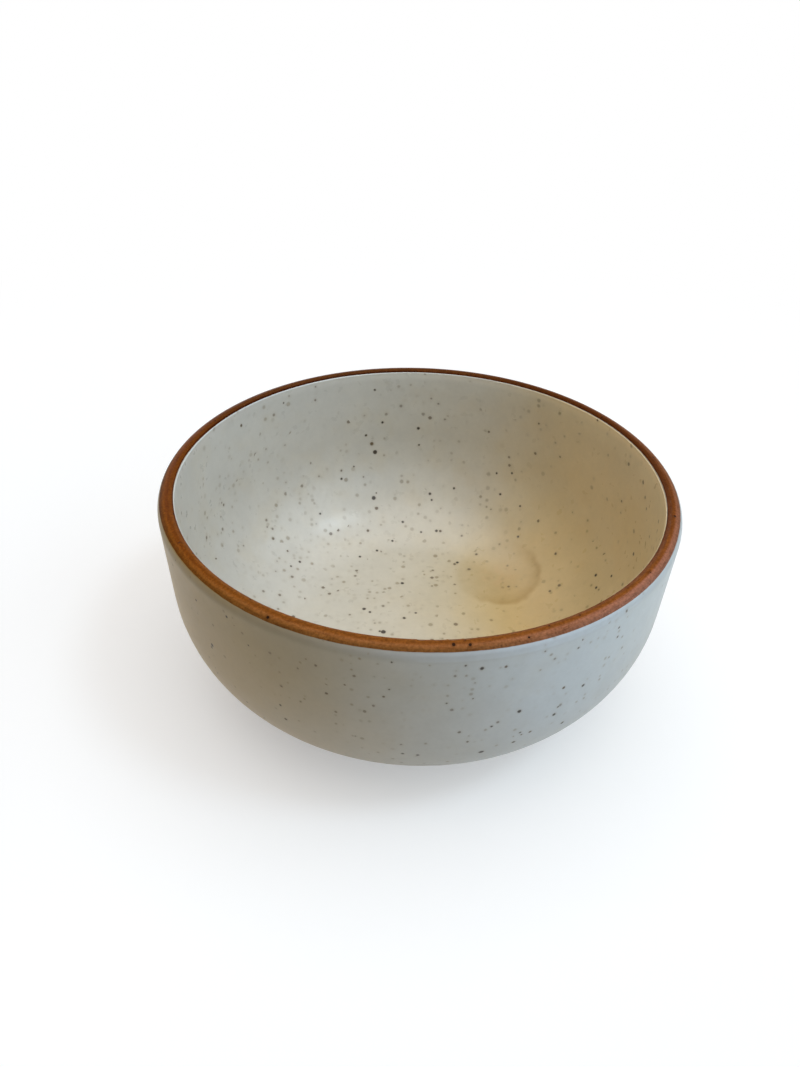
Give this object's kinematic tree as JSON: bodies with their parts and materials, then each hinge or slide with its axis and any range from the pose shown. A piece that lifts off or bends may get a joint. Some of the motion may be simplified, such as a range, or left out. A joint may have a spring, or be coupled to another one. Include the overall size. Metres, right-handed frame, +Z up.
{
  "type": "bowl",
  "caption": "Round stoneware bowl with a near-upright wall, a rounded belly, a low foot ring, speckled off-white glaze and an iron-brown band over its lip.",
  "frame": {"origin": "middle of the foot ring's underside, at table level", "axes": "+Z up along the axis that the whole bowl is revolved about; X and Y are any two directions across it, and the picture looks along about +Y"},
  "size_m": [0.152, 0.152, 0.068],
  "materials": {
    "clay": "bare fired stoneware, matte",
    "glaze": "satin off-white with fine iron specks",
    "rim_glaze": "satin iron-brown, streaked"
  },
  "bodies": {
    "root": {"clay_body": "clay", "outside_glaze": "glaze", "inside_glaze": "glaze", "rim_band": "rim_glaze", "base_glaze": "glaze"}
  },
  "joints": []
}
